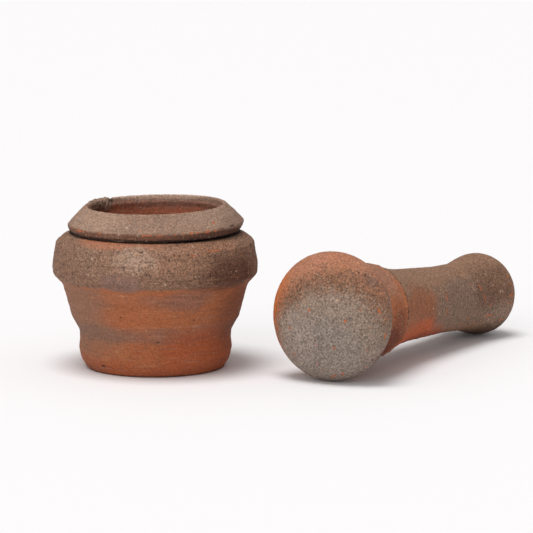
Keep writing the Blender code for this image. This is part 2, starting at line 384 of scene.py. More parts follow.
class ClayPainter:
    """Builds the node graph of one clay finish."""

    def __init__(self, finish: ClayFinish, lie: Matrix) -> None:
        """Starts the material.

        Args:
            finish: the finish to paint.
            lie: where the piece's own frame lies in the row frame.
        """
        self.finish = finish
        self.material = bpy.data.materials.new(finish.name)
        self.material.use_nodes = True
        self.tree = self.material.node_tree
        settle = self.node("Mapping", {
            "Vector": self.node("TexCoord", {}).outputs["Object"],
            "Location": tuple(lie.to_translation()),
            "Rotation": tuple(lie.to_euler("XYZ")),
        }, vector_type="TEXTURE")
        self.place = settle.outputs["Vector"]

    def node(self, kind: str, inputs: "dict[str | int, Socket | float | Colour]",
             **settings: "str | bool") -> bpy.types.ShaderNode:
        """Adds a node.

        Args:
            kind: the node's type, without its prefix.
            inputs: a link or a plain value for each input that is used.
            settings: the node's other properties.

        Returns:
            The new node.
        """
        node = self.tree.nodes.new(f"ShaderNode{kind}")
        for name, value in settings.items():
            setattr(node, name, value)
        for inlet, value in inputs.items():
            target = node.inputs[inlet]
            if isinstance(value, bpy.types.NodeSocket):
                self.tree.links.new(value, target)
            elif isinstance(value, tuple) and len(target.default_value) == 4:
                target.default_value = (*value, 1.0)
            else:
                target.default_value = value
        return node

    def maths(self, operation: str, first: "Socket | float", second: "Socket | float",
              clamp: bool = False) -> Socket:
        """One Math node."""
        return self.node("Math", {0: first, 1: second}, operation=operation, use_clamp=clamp).outputs[0]

    def times(self, first: "Socket | float", second: "Socket | float") -> Socket:
        """The product of two numbers."""
        return self.maths("MULTIPLY", first, second)

    def plus(self, first: "Socket | float", second: "Socket | float") -> Socket:
        """The sum of two numbers."""
        return self.maths("ADD", first, second)

    def centred(self, wave: Socket, depth: float) -> Socket:
        """A noise from 0 to 1 moved to swing round 0, and deepened."""
        return self.times(self.maths("SUBTRACT", wave, 0.5), depth)

    def vector(self, operation: str, first: "Socket | Place", second: "Socket | Place",
               outlet: str = "Vector") -> Socket:
        """One Vector Math node."""
        return self.node("VectorMath", {0: first, 1: second}, operation=operation).outputs[outlet]

    def drawn(self, length: float, thickness: float) -> Socket:
        """Coordinates in which noise comes out as streaks round the piece."""
        split = self.node("SeparateXYZ", {0: self.place}).outputs
        flat = self.vector("MULTIPLY", self.place, (1.0, 1.0, 0.0))
        radius = self.vector("LENGTH", flat, (0.0, 0.0, 0.0), "Value")
        climb = self.plus(split[2], self.times(radius, self.finish.spread))
        wide, thin = 1.0 / (length * MM), 1.0 / (thickness * MM)
        return self.node("CombineXYZ", {0: self.times(split[0], wide), 1: self.times(split[1], wide),
                                        2: self.times(climb, thin)}).outputs[0]

    def noise(self, size: float, detail: float = 3.0, rough: float = 0.55,
              at: "Socket | None" = None, shift: float = 0.0) -> Socket:
        """Noise of about that feature size in millimetres, or in the given coordinates' units."""
        return self.node("TexNoise", {
            "Vector": at if at is not None else self.place,
            "W": shift,
            "Scale": 1.0 / (size * MM) if at is None else 1.0 / size,
            "Detail": detail,
            "Roughness": rough,
        }, noise_dimensions="4D").outputs["Fac"]

    def ramp(self, value: Socket, low: float, high: float) -> Socket:
        """Rises softly from 0 at low to 1 at high."""
        return self.node("MapRange", {"Value": value, "From Min": low, "From Max": high},
                         interpolation_type="SMOOTHSTEP").outputs["Result"]

    def mix(self, share: "Socket | float", under: "Socket | Colour", over: "Socket | Colour") -> Socket:
        """Lays one colour over another."""
        return self.node("Mix", {0: share, 6: under, 7: over}, data_type="RGBA").outputs[2]

    def blend(self, share: Socket, under: "Socket | float", over: float) -> Socket:
        """Lays one number over another."""
        return self.node("Mix", {0: share, 2: under, 3: over}, data_type="FLOAT").outputs[0]

    def grains(self, size: float, count: float, shift: float) -> Socket:
        """Mask of scattered grains: cells of a Voronoi pattern, a share of them kept.

        Args:
            size: distance between cells, in millimetres.
            count: share of the cells that hold a grain.
            shift: moves the pattern.

        Returns:
            1 in the middle of a grain, 0 outside.
        """
        cells = self.node("TexVoronoi", {"Vector": self.place, "W": shift, "Scale": 1.0 / (size * MM)},
                          voronoi_dimensions="4D").outputs
        draw = self.node("SeparateColor", {0: cells["Color"]}).outputs[0]
        kept = self.ramp(draw, 1.0 - count, 1.0 - count * 0.85)
        return self.times(kept, self.ramp(cells["Distance"], 0.50, 0.26))

    def patch(self, kiln_and_light_patch: KilnAndLightPatch, shift: float, fray: Socket, specks: Socket) -> Socket:
        """Mask of one patch; kiln colour, painted shade and painted light all use it.

        Args:
            kiln_and_light_patch: the patch.
            shift: moves the noise that breaks its edge.
            fray: fine noise shared by the patches' edges.
            specks: very fine noise that turns an edge to grit.

        Returns:
            1 inside the patch, falling to 0 outside.
        """
        offset = self.vector("SUBTRACT", self.place, tuple(value * MM for value in kiln_and_light_patch.middle))
        scaled = self.vector("DIVIDE", offset, tuple(value * MM for value in kiln_and_light_patch.reach))
        reach = self.vector("LENGTH", scaled, (0.0, 0.0, 0.0), "Value")
        broad = self.noise(BROAD_SIZE, 3.0, 0.6, shift=shift)
        for wave, depth in ((broad, kiln_and_light_patch.ragged * 2.0), (fray, kiln_and_light_patch.ragged), (specks, kiln_and_light_patch.grit * 2.0)):
            reach = self.plus(reach, self.centred(wave, depth))
        inside = self.ramp(reach, 1.0 + kiln_and_light_patch.soft * 0.5, 1.0 - kiln_and_light_patch.soft * 0.5)
        return self.times(inside, kiln_and_light_patch.strength)

    def fired_and_painted_light(self) -> "tuple[Socket, Socket | float]":
        """The clay's colour and its coarseness once its kiln patches, painted shade and painted light are
        on it.
        """
        fray = self.noise(FRAY_SIZE, 4.0, 0.65, shift=1.7)
        specks = self.noise(SPECK_SIZE, 2.0, 0.7, shift=4.1)
        drift = self.ramp(self.noise(DRIFT_SIZE, 4.0, 0.6, shift=2.2), 0.36, 0.64)
        colour = self.mix(drift, self.finish.body, self.finish.drift)
        coarse: Socket | float = self.finish.coarse
        for number, kiln_and_light_patch in enumerate(self.finish.kiln_and_light_patches):
            mask = self.patch(kiln_and_light_patch, 3.0 + number * 5.3, fray, specks)
            colour = self.mix(mask, colour, kiln_and_light_patch.colour)
            if kiln_and_light_patch.coarse is not None:
                coarse = self.blend(mask, coarse, kiln_and_light_patch.coarse)
        return colour, coarse

    def streaked(self, colour: Socket, drawn: Socket, lines: Socket) -> Socket:
        """Draws the turning's dark and pale streaks over a colour."""
        streaks = self.noise(1.0, 4.0, 0.6, at=drawn, shift=6.0)
        dark = self.times(self.ramp(streaks, 0.50, 0.28), self.finish.streak)
        pale = self.times(self.ramp(lines, 0.52, 0.74), self.finish.streak * 0.8)
        return self.mix(pale, self.mix(dark, colour, self.finish.ash), self.finish.dust)

    def shaded(self, colour: Socket, tone: Socket) -> Socket:
        """Lightens and darkens a colour by a tone that swings round 0."""
        scale = self.maths("MAXIMUM", self.plus(tone, 1.0), DARKEST)
        return self.node("VectorMath", {0: colour, "Scale": scale}, operation="SCALE").outputs[0]

    def marked(self, colour: Socket, sand: Socket) -> Socket:
        """Colours the chips, scars and pits, whose edges crumble with the sand."""
        crumb = self.centred(sand, 0.9)
        for kind, over in ((CHIP, EMBER), (SCAR, self.finish.dust), (PIT, PIT_BLACK)):
            level = self.node("Attribute", {}, attribute_name=kind.value).outputs["Fac"]
            edge = self.ramp(self.plus(level, self.times(crumb, level)), 0.10, 0.62)
            colour = self.mix(self.times(edge, 0.92), colour, over)
        return colour

    def paint(self) -> bpy.types.Material:
        """Builds the whole graph.

        Returns:
            The finished material.
        """
        finish = self.finish
        colour, coarse = self.fired_and_painted_light()
        drawn = self.drawn(*finish.streak_size)
        lines = self.noise(0.34, 3.0, 0.65, at=drawn, shift=8.0)
        colour = self.streaked(colour, drawn, lines)

        mottle = self.noise(MOTTLE_SIZE, 3.0, 0.65, shift=9.0)
        grit = self.noise(GRIT_SIZE, 2.0, 0.65, shift=12.0)
        sand = self.noise(SAND_SIZE, 1.0, 0.5, shift=15.0)
        tone = self.plus(self.centred(mottle, 0.5), self.centred(grit, 0.62))
        tone = self.plus(tone, self.centred(sand, 2.7))
        colour = self.shaded(colour, self.times(tone, coarse))

        pale, bright, dark, ember = (
            self.maths("MULTIPLY", self.grains(size, share, shift), coarse, clamp=True)
            for size, share, shift in (
                (1.35, 0.15 * finish.speckle, 1.0), (1.6, 0.03 * finish.speckle, 5.0),
                (1.3, 0.15 * finish.pepper, 9.0), (1.4, 0.07 * finish.embers, 13.0)))
        for mask, strength, over in ((dark, 0.50, finish.ash), (ember, 0.7, EMBER),
                                     (pale, 0.55, finish.dust), (bright, 0.55, GROG_WHITE)):
            colour = self.mix(self.times(mask, strength), colour, over)
        colour = self.marked(colour, sand)
        rough = self.node("MapRange", {"Value": mottle, "To Min": finish.roughness - ROUGHNESS_SWING,
                                       "To Max": finish.roughness + ROUGHNESS_SWING}).outputs["Result"]

        height = self.plus(mottle, self.times(grit, 0.8))
        height = self.times(self.plus(height, self.times(sand, 0.9)), coarse)
        height = self.plus(height, self.times(lines, finish.streak))
        height = self.plus(height, self.times(pale, 0.35))
        height = self.maths("SUBTRACT", height, self.times(dark, 0.6))
        bump = self.node("Bump", {"Strength": 1.0, "Distance": finish.tooth * MM, "Height": height})

        shader = self.tree.nodes["Principled BSDF"]
        shader.inputs["Specular IOR Level"].default_value = CLAY_SPECULAR
        for inlet, source in (("Base Color", colour), ("Roughness", rough), ("Normal", bump.outputs[0])):
            self.tree.links.new(source, shader.inputs[inlet])
        return self.material


def grog_material(owner: str) -> bpy.types.Material:
    """Pale grains of burnt clay, each a little different, for one piece."""
    finish = ClayFinish(
        name=f"{owner}_grog", body=(0.40, 0.27, 0.185), drift=(0.26, 0.15, 0.095), dust=(0.58, 0.45, 0.34),
        ash=(0.14, 0.09, 0.06), kiln_and_light_patches=(), streak=0.0, speckle=0.2, pepper=0.3, embers=0.3,
        roughness=0.75, tooth=0.05)
    return ClayPainter(finish, Matrix()).paint()


# ---- pieces
@dataclass
class ClayPiece:
    """One turned clay piece that stands for a CAD node.

    Attributes:
        name: the piece's name.
        node: the CAD node it stands for.
        body: the CAD body it rides on.
        slot: the record's material slot; not used.
        throwing: the wheel's and the hand's marks.
        marks: chips, pits and scars.
        finish: its clay.
        facets: facets round the piece.
        grog: how many coarse grains are set in its skin.
        lie: where its own frame lies in the row frame.
        closed: whether its outline is a loop clear of the axis.
    """

    name: str
    node: str
    body: str
    slot: str
    throwing: Throwing
    marks: list[Mark]
    finish: ClayFinish
    facets: int
    grog: int
    lie: Matrix = field(default_factory=Matrix)
    closed: bool = False

    def outline(self) -> list[Run]:
        """The piece's outline, in stretches with the length of their steps."""
        raise NotImplementedError

    def hold(self, place: Vector) -> float:
        """How much of the throwing marks a point takes: 0 where the piece must stay true."""
        return 1.0

    def coarse(self, place: Vector) -> float:
        """How coarse the clay is here."""
        return 1.0

    def settle(self, place: Vector) -> Vector:
        """Last change to a point's place, such as a tilt."""
        return place

    def make(self) -> None:
        """Builds the piece and its grains, riding on their body."""
        facets = self.facets
        shape = turned(evened(self.outline()), facets, self.closed)
        for vert in shape.verts:
            share = self.hold(vert.co)
            if share > 0.0:
                vert.co += vert.normal * (self.throwing.push(vert.co, self.coarse(vert.co)) * share)
        shape.normal_update()
        press_marks(shape, self.marks)
        for vert in shape.verts:
            vert.co = self.settle(vert.co)
        shape.normal_update()
        grains = self.grains(shape)
        material = ClayPainter(self.finish, self.lie).paint()
        piece = self.finished(shape, self.name, material)
        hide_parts(self.node)
        self.finished(grains, f"{self.name}_grog", grog_material(self.name))

    def grains(self, shape: bmesh.types.BMesh) -> bmesh.types.BMesh:
        """Sets coarse grains of grog half into the skin.

        Args:
            shape: the piece's mesh, in its own frame.

        Returns:
            The grains as one mesh.
        """
        draw = random.Random(self.name)
        seats = [face for face in shape.faces if self.takes_grog(face.calc_center_median())]
        # a spin leaves its faces in an order that changes from run to run
        seats.sort(key=lambda face: sorted(vert.co[:] for vert in face.verts))
        grains = bmesh.new()
        for _ in range(self.grog):
            face = draw.choice(seats)
            size = draw.uniform(*GROG_HALF) * MM * (BIG_GROG if draw.random() < BIG_GROG_SHARE else 1.0)
            middle = face.calc_center_median() + face.normal * (size * 0.02)
            made = bmesh.ops.create_icosphere(grains, subdivisions=1, radius=1.0)["verts"]
            squash = Matrix.Diagonal((draw.uniform(0.8, 1.3), draw.uniform(0.8, 1.3), GROG_FLATNESS, 1.0))
            turn = face.normal.to_track_quat("Z", "Y").to_matrix().to_4x4()
            spin = Matrix.Rotation(draw.uniform(0.0, math.tau), 4, "Z")
            place = Matrix.Translation(middle) @ turn @ spin @ squash @ Matrix.Scale(size, 4)
            bmesh.ops.transform(grains, verts=made, matrix=place)
        return grains

    def takes_grog(self, place: Vector) -> bool:
        """Whether grains are set here."""
        return True

    def finished(self, shape: bmesh.types.BMesh, name: str,
                 material: bpy.types.Material) -> bpy.types.Object:
        """Turns a mesh in the piece's own frame into an object that rides on its body."""
        shape.transform(self.lie)
        mesh = bpy.data.meshes.new(name)
        shape.to_mesh(mesh)
        shape.free()
        mesh.polygons.foreach_set("use_smooth", [True] * len(mesh.polygons))
        mesh.materials.append(material)
        thing = bpy.data.objects.new(name, mesh)
        bpy.context.scene.collection.objects.link(thing)
        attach(thing, self.body)
        log.info("%s: %d faces, rides on %s", name, len(mesh.polygons), self.body)
        return thing


@dataclass
class MortarBody(ClayPiece):
    """The mortar without its collar: foot, crease, belly, shoulder band and bowl."""

    shoulder_radius: float = 50.0
    top_height: float = 66.0
    mouth_radius: float = 36.5
    bowl_radius: float = 39.0
    bowl_middle: float = 48.0
    bowl_floor: float = 10.0
    base_radius: float = 33.4

    def outline(self) -> list[Run]:
        """Bowl floor, up the inside, over the top, down the outside and across the base."""
        mouth_angle = math.degrees(math.acos(self.mouth_radius / self.bowl_radius))
        bowl = ellipse(self.bowl_radius, self.bowl_middle, self.bowl_middle - self.bowl_floor,
                       -90.0, mouth_angle)
        outside = rounded([
            (self.mouth_radius, self.top_height, 0.0),
            (41.4, self.top_height, 0.8),
            (44.9, 64.4, 4.0),
            (48.2, 61.6, 2.2),
            (self.shoulder_radius, 50.6, 6.0),
            (49.8, 46.0, 2.4),
            (45.2, 41.4, 6.0),
            (41.7, 28.6, 6.0),
            (40.7, 25.0, 4.0),
            (37.1, 18.3, 4.0),
            (36.8, 14.0, 9.0),
            (37.4, 9.2, 5.0),
            (36.1, 4.2, 4.0),
            (self.base_radius, 0.0, 0.0),
        ])
        base = [(self.base_radius * MM, 0.0), (0.0, 0.0)]
        return [(bowl, 2.4), (outside, 0.54), (base, 4.0)]

    def hold(self, place: Vector) -> float:
        """The base stays flat and the seat under the collar stays nearly true."""
        height = place.z / MM
        radius = math.hypot(place.x, place.y) / MM
        seat = 1.0 - smoothstep(64.0, 65.6, height)
        base = smoothstep(0.1, 1.6, height)
        inside = 0.6 if radius < 40.0 and height > 9.0 else 1.0
        return base * inside * max(seat, 0.12)

    def coarse(self, place: Vector) -> float:
        """The shoulder band is rougher than the smoothed lower body."""
        return 0.45 + 0.95 * smoothstep(43.0, 47.0, place.z / MM)

    def takes_grog(self, place: Vector) -> bool:
        """On the outside, most of it on the shoulder band."""
        height = place.z / MM
        outside = math.hypot(place.x, place.y) > 35.0 * MM and 2.0 < height < 65.0
        return outside and (height > 46.0 or height % 5.0 < 0.6)


@dataclass
class RimCollar(ClayPiece):
    """The loose ring on the shoulder: bevel, sharp ridge, mouth and spigot."""

    crest_radius: float = 33.4
    crest_rise: float = 12.9
    ridge_radius: float = 43.0
    ridge_rise: float = 3.9
    seat_radius: float = 40.9
    bore: float = 33.0
    lip_radius: float = 32.4
    spigot_radius: float = 35.6
    spigot_depth: float = 4.8
    lean: float = 1.19
    nod: float = 0.60
    sink: float = 0.35
    shift: float = 0.45

    def outline(self) -> list[Run]:
        """Up the bore, over the crest, down the bevel, under the ridge and back by the spigot."""
        loop = rounded([
            (self.bore, -self.spigot_depth + 1.0, 0.0),
            (self.bore + 0.6, 6.8, 1.2),
            (self.lip_radius, 9.2, 0.9),
            (self.crest_radius - 0.6, self.crest_rise - 0.2, 0.9),
            (self.crest_radius + 0.9, self.crest_rise - 0.2, 0.8),
            (38.9, 8.4, 6.0),
            (self.ridge_radius, self.ridge_rise, 1.1),
            (42.2, 1.9, 1.5),
            (self.seat_radius, 0.0, 0.7),
            (self.spigot_radius, 0.0, 0.0),
            (self.spigot_radius, -self.spigot_depth, 0.5),
            (self.bore + 0.6, -self.spigot_depth, 0.0),
        ])
        return [(loop, 0.48)]

    def hold(self, place: Vector) -> float:
        """The underside and the spigot stay nearly true."""
        return max(0.1, smoothstep(-0.2, 1.2, place.z / MM))

    def settle(self, place: Vector) -> Vector:
        """The collar leans to the left and forward, and sits a little off the middle."""
        turn = Euler((math.radians(self.nod), -math.radians(self.lean), 0.0)).to_matrix()
        return turn @ place + Vector((self.shift, 0.0, -self.sink)) * MM

    def takes_grog(self, place: Vector) -> bool:
        """On the bevel and the ridge."""
        return place.z > 1.0 * MM


@dataclass(frozen=True)
class PestleLie:
    """How the pestle lies on the floor; lengths in millimetres, its turn in degrees."""

    x: float = 85.4
    y: float = -40.8
    turn: float = 59.6
    head_radius: float = 31.1
    tail_radius: float = 20.9
    tail_length: float = 152.0

    def matrix(self) -> Matrix:
        """The pestle's own frame: +Z runs from the head's widest circle to the knob."""
        slope = math.asin((self.head_radius - self.tail_radius) / self.tail_length)
        turn = Euler((0.0, math.radians(90.0) + slope, math.radians(self.turn))).to_matrix().to_4x4()
        rest = self.head_radius * math.cos(slope) + 0.02
        return Matrix.Translation(Vector((self.x, self.y, rest)) * MM) @ turn


@dataclass
class PestleHead(ClayPiece):
    """The grinding head: dome, crisp widest edge, neck ring that narrows to the seam."""

    radius: float = 31.0
    dome: float = 15.6
    neck_radius: float = 23.1
    neck_length: float = 35.1
    socket_radius: float = 12.3
    socket_floor: float = 15.1
    seam_land: float = 8.0

    def outline(self) -> list[Run]:
        """Socket floor, out over the seam face, along the ring and round the dome."""
        socket = rounded([
            (0.0, self.socket_floor, 0.0),
            (self.socket_radius, self.socket_floor, 0.0),
            (self.socket_radius, self.neck_length, 0.0),
            (self.socket_radius + self.seam_land, self.neck_length, 0.0),
        ])
        back = rounded([
            (self.socket_radius + self.seam_land, self.neck_length, 0.0),
            (self.neck_radius, self.neck_length, 0.35),
            (24.8, 19.5, 40.0),
            (25.9, 8.4, 1.5),
            (self.radius - 1.15, 5.6, 0.45),
            (self.radius - 0.15, 2.4, 8.0),
            (self.radius, 0.0, 0.0),
        ])
        dome = ellipse(self.radius, 0.0, self.dome, 0.0, -90.0)
        return [(socket, 2.5), (back + dome[1:], 0.50)]

    def hold(self, place: Vector) -> float:
        """The socket and the seam face stay true."""
        radius = math.hypot(place.x, place.y) / MM
        height = place.z / MM
        if radius < 13.0 and height > 10.0:
            return 0.0
        return 1.0 - 0.85 * smoothstep(33.0, 34.9, height)

    def takes_grog(self, place: Vector) -> bool:
        """Outside only, most of it on the dome's upper half."""
        if place.z > 34.0 * MM or (math.hypot(place.x, place.y) < 14.0 * MM and place.z > 0.0):
            return False
        return place.z > 0.0 or place.x < 4.0 * MM or place.y % (5.0 * MM) < 1.0 * MM


@dataclass
class PestleHandle(ClayPiece):
    """The handle: waisted shaft, knob, and a tenon inside the head."""

    neck_radius: float = 21.6
    neck_length: float = 35.4
    waist_radius: float = 16.7
    knob_radius: float = 20.8
    knob_length: float = 152.0
    knob_dome: float = 14.3
    tenon_radius: float = 12.0
    tenon_length: float = 20.0
    seam_land: float = 6.0

    def outline(self) -> list[Run]:
        """Round the knob, down the shaft, in at the shoulder and down the tenon."""
        knob = ellipse(self.knob_radius, self.knob_length, self.knob_dome, 90.0, 0.0)
        shaft = rounded([
            (self.knob_radius, self.knob_length, 0.0),
            (20.2, 147.0, 16.0),
            (17.2, 131.0, 45.0),
            (self.waist_radius, 108.0, 160.0),
            (18.1, 66.1, 90.0),
            (19.2, 53.1, 30.0),
            (21.2, 43.1, 16.0),
            (self.neck_radius, self.neck_length, 0.7),
            (self.tenon_radius + self.seam_land, self.neck_length, 0.0),
        ])
        tenon_end = (self.neck_length - self.tenon_length) * MM
        tenon = [
            ((self.tenon_radius + self.seam_land) * MM, self.neck_length * MM),
            (self.tenon_radius * MM, self.neck_length * MM),
            (self.tenon_radius * MM, tenon_end),
            (0.0, tenon_end),
        ]
        return [(knob + shaft[1:], 0.56), (tenon, 2.5)]

    def hold(self, place: Vector) -> float:
        """The tenon and the seam face stay true."""
        height = place.z / MM
        if height < self.neck_length + 0.2:
            return 0.0
        return 0.15 + 0.85 * smoothstep(35.6, 37.6, height)

    def takes_grog(self, place: Vector) -> bool:
        """Outside only."""
        return place.z > 37.0 * MM


# ---- what each piece looks like
def dressed_mortar() -> MortarBody:
    """The mortar's body with its fire colours, painted shade at the foot and under the collar, and its
    marks.
    """
    kiln_and_light_patches = (
        KilnAndLightPatch((0.24, 0.125, 0.08), (-37, -22, 28), (20, 26, 20), 0.9, 0.5, 0.8),
        girdle((0.195, 0.105, 0.072), 20.5, 4, 0.9, 0.8, 0.75),
        KilnAndLightPatch((0.215, 0.1, 0.068), (14, -40, 38.5), (20, 10, 5), 1, 0.9, 0.7),
        KilnAndLightPatch((0.35, 0.1, 0.036), (-8, -36, 30), (18, 14, 7), 0.9, 0.7, 0.5),
        KilnAndLightPatch((0.34, 0.078, 0.026), (24, -24, 12), (30, 24, 12), 0.8, 0.5, 0.8),
        KilnAndLightPatch((0.185, 0.068, 0.036), (36, -14, 30), (13, 16, 14), 0.9, 0.6, 0.6),
        girdle((0.33, 0.084, 0.032), 0, 6.5, 0.9, 0.5, 0.75),
        # painted shadow: near-black edge round the bottom of the foot, where it stands on the floor
        girdle((0.075, 0.026, 0.014), -1, 1.7, 0.7, 0.5, 0.8),
        girdle((0.215, 0.115, 0.073), 56, 11.6, 0.14, 0.1, 1, 0.1, 0.95),
        KilnAndLightPatch((0.25, 0.15, 0.1), (-24, -42, 57), (16, 16, 8), 0.9, 0.6, 0.5),
        KilnAndLightPatch((0.088, 0.034, 0.019), (37, -32, 50), (18, 20, 8), 0.9, 0.5, 0.85),
        KilnAndLightPatch((0.29, 0.15, 0.092), (2, -46, 58), (24, 10, 7), 0.9, 0.7, 0.6),
        KilnAndLightPatch((0.27, 0.13, 0.075), (30, -37, 64.5), (17, 14, 3.6), 0.8, 0.5, 0.7),
        KilnAndLightPatch((0.35, 0.145, 0.08), (-20, -38, 65.8), (27, 14, 2.6), 0.8, 0.5, 0.9, 0.2, 0.6),
        KilnAndLightPatch((0.42, 0.15, 0.075), (-27, -34, 66.6), (20, 14, 1.3), 0.6, 0.3, 0.85, 0.2, 0.4),
        KilnAndLightPatch((0.21, 0.118, 0.09), (-15, -46, 47.5), (11, 10, 4.6), 0.5, 0.4, 0.85, 0.15, 0.45),
        KilnAndLightPatch((0.36, 0.245, 0.18), (-7, -46.5, 59), (10, 5, 5.4), 1.2, 1.2, 0.7, 0.5),
        # painted shade: near-black band over the top of the body where the collar sits, for the shadowed
        # gap under the collar
        girdle((0.03, 0.016, 0.011), 68, 2.15, 0.1, 0.04, 0.95, 0.05),
        KilnAndLightPatch((0.12, 0.06, 0.042), (0, 0, 48), (35.6, 35.6, 60), 0.15, 0.1, 0.6),
    )
    finish = ClayFinish(
        name="mortar_clay", body=(0.318, 0.107, 0.046), drift=(0.35, 0.109, 0.041), dust=(0.42, 0.24, 0.15),
        ash=(0.12, 0.06, 0.04), coarse=0.4, streak=0.46, spread=-0.6, kiln_and_light_patches=kiln_and_light_patches)
    marks = [
        PIT.at(-96, 46.8, 62.6, (1.7, 1), 0.6, 0.5),
        Mark(SCAR, around(-97.5, 47.6, 61.6), (2.2, 0.9), -0.15, tangent(-97), 0.7, 0.6),
        SCAR.at(-107, 48, 60.2, (2.6, 0.7), -0.1, 0.5, 0.7),
        CHIP.at(-52, 47.8, 61.9, (8, 0.4), 0.25, 0.7, 0.5, 0.03),
        CHIP.at(-66, 48.3, 60.6, (1.8, 0.5), 0.2, 0.6, 0.5),
        PIT.at(-14, 49, 60.8, (1.8, 1.1), 0.9, 0.4),
        PIT.at(-133, 35.3, 4.1, (1.6, 0.8), 0.6, 0.8),
        CHIP.at(-133, 47, 43.6, (2.6, 0.5), 0.3, 0.8, 0.5),
        PIT.at(-139, 48, 44.4, (1.6, 0.5), 0.4, 0.8, 0.5),
        PIT.at(-111, 40.9, 30.2, (0.7, 0.5), 0.4, 0.8),
        PIT.at(-62, 40.6, 28.4, (0.9, 0.5), 0.4, 0.9),
        PIT.at(-86, 37, 17.6, (1.2, 0.6), 0.5, 0.6),
        SCAR.at(-85, 37, 16.9, (1.3, 0.5), -0.1, 0.4),
        SCAR.at(-141, 40.4, 27.6, (0.6, 0.5), -0.2, 0.9),
        CHIP.at(-72, 41.6, 33, (1.8, 0.5), 0.15, 0.5, 0.6),
        CHIP.at(-88, 37.2, 20.2, (3.2, 0.5), 0.1, 0.4, 0.6, -0.15),
        PIT.at(58, 49, 57, (2, 1), 0.6, 0.5),
        CHIP.at(120, 48.6, 60.5, (5, 0.5), 0.3, 0.7, 0.5),
        PIT.at(170, 40.9, 28, (1.2, 0.7), 0.4, 0.8),
    ]
    return MortarBody(name="mortar_clay_body", node="mortar_body", body="mortar", slot="fired_orange_clay",
                      throwing=Throwing(0.35, 0.2, 3.4, 0.085, 3.1), marks=marks, finish=finish,
                      facets=430, grog=520)


def dressed_collar() -> RimCollar:
    """The rim collar with its chips and its torn overlap."""
    kiln_and_light_patches = (
        KilnAndLightPatch((0.36, 0.235, 0.168), (-30, -24, 8), (16, 16, 8), 0.9, 0.5, 0.5),
        KilnAndLightPatch((0.36, 0.232, 0.168), (28, -20, 10), (16, 16, 5), 0.9, 0.5, 0.4),
        KilnAndLightPatch((0.2, 0.118, 0.085), (40, -12, 5), (10, 14, 4), 0.9, 0.6, 0.5),
        # painted light: paler band over the crest and lip at the back of the mouth, where the light falls
        # on it
        KilnAndLightPatch((0.5, 0.33, 0.245), (0, 34, 13.4), (34, 16, 3.2), 0.5, 0.3, 0.9, 0.25, 0.6),
        # darker, redder band under the ridge; its darkness is painted shade on this downward-facing band
        girdle((0.135, 0.05, 0.027), 0, 3.3, 0.34, 0.14, 0.8, 0.3),
        # painted shade: darker patch under the ridge on the front right, the side away from the light
        KilnAndLightPatch((0.07, 0.028, 0.017), (32, -28, 0.8), (22, 22, 2.8), 0.7, 0.3, 0.75, 0.3),
        # painted shade: near-black underside of the collar, for the shadowed gap where it sits on the body
        girdle((0.02, 0.011, 0.008), -2, 2.6, 0.25, 0.1, 0.85),
        KilnAndLightPatch((0.4, 0.2, 0.142), (0, 0, 0), (36.6, 36.6, 22.5), 0.03, 0.05, 1, 0.06),
        KilnAndLightPatch((0.43, 0.122, 0.057), (0, 0, 0), (36.6, 36.6, 17), 0.08, 0.06, 0.9, 0.08, 0.5),
        KilnAndLightPatch((0.205, 0.12, 0.082), (-27, 16, 11), (10, 9, 5), 0.7, 0.6, 0.8, 0.5, 0.8),
        KilnAndLightPatch((0.27, 0.172, 0.12), (-27.5, 16, 12.5), (9, 8, 2.6), 0.6, 0.5, 0.7, 0.5, 0.9),
    )
    finish = ClayFinish(
        name="collar_clay", body=(0.252, 0.157, 0.11), drift=(0.292, 0.172, 0.118), dust=(0.47, 0.34, 0.25),
        ash=(0.1, 0.06, 0.042), coarse=0.62, streak=0.34, spread=-0.6, speckle=0.8, kiln_and_light_patches=kiln_and_light_patches)
    marks = [
        CHIP.at(angle, 43, 3.9, (length, 0.42), 0.35, tint, 0.8)
        for angle, length, tint in (
            (-148, 2.6, 0.9), (-143, 1.2, 0.7), (-128, 1, 0.8), (-93, 3.4, 0.9), (-86, 2, 0.7),
            (-75, 1.8, 0.9), (-70, 1.1, 0.9), (-65, 1.2, 0.9), (-60, 2, 0.8), (-53, 2.6, 0.9),
            (-47, 1.4, 0.9), (-40, 1, 0.6), (20, 3, 0.8), (75, 2.2, 0.9), (128, 4.2, 0.9),
            (170, 2, 0.8))
    ]
    marks += [
        CHIP.at(-44, 39.8, 7, (0.8, 0.6), 0.2, 0.8, 0.5),
        PIT.at(-28, 42.6, 4.4, (2.6, 0.8), 0.5, 0.5, 0.6),
        PIT.at(-40, 42.4, 4, (1.6, 0.6), 0.4, 0.5, 0.6),
        PIT.at(-118, 39.6, 7.4, (1, 0.7), 0.3, 0.3, 0.5),
        SCAR.at(-108, 40, 7.2, (0.8, 0.6), -0.15, 0.5, 0.5),
        SCAR.at(147, 33, 11.8, (6.4, 3), -0.85, 0.25, 0.7),
        SCAR.at(139, 32.6, 9, (2.8, 3.6), -1.15, 0.3, 0.7),
        SCAR.at(158, 33.2, 11.6, (4.4, 2.4), -0.6, 0.2, 0.7),
        Mark(SCAR, around(136.5, 32.4, 7.4), (0.7, 1), -0.5, tangent(136), 0.9, 0.5),
        Mark(PIT, around(133, 33.3, 12.2), (1.2, 2.8), 0.9, tangent(132), 0.45, 0.7),
        CHIP.at(-178, 33.8, 12.6, (1.2, 0.9), 0.1, 0.8, 0.5),
        CHIP.at(122, 33.8, 12.7, (0.9, 0.5), 0.1, 0.7, 0.5),
    ]
    return RimCollar(name="rim_collar_clay", node="rim_collar", body="collar", slot="fired_brown_clay",
                     throwing=Throwing(0.22, 0.1, 2.6, 0.1, 8.7), marks=marks, finish=finish,
                     lie=Matrix.Translation((0, 0, 67 * MM)), facets=440, grog=260, closed=True)


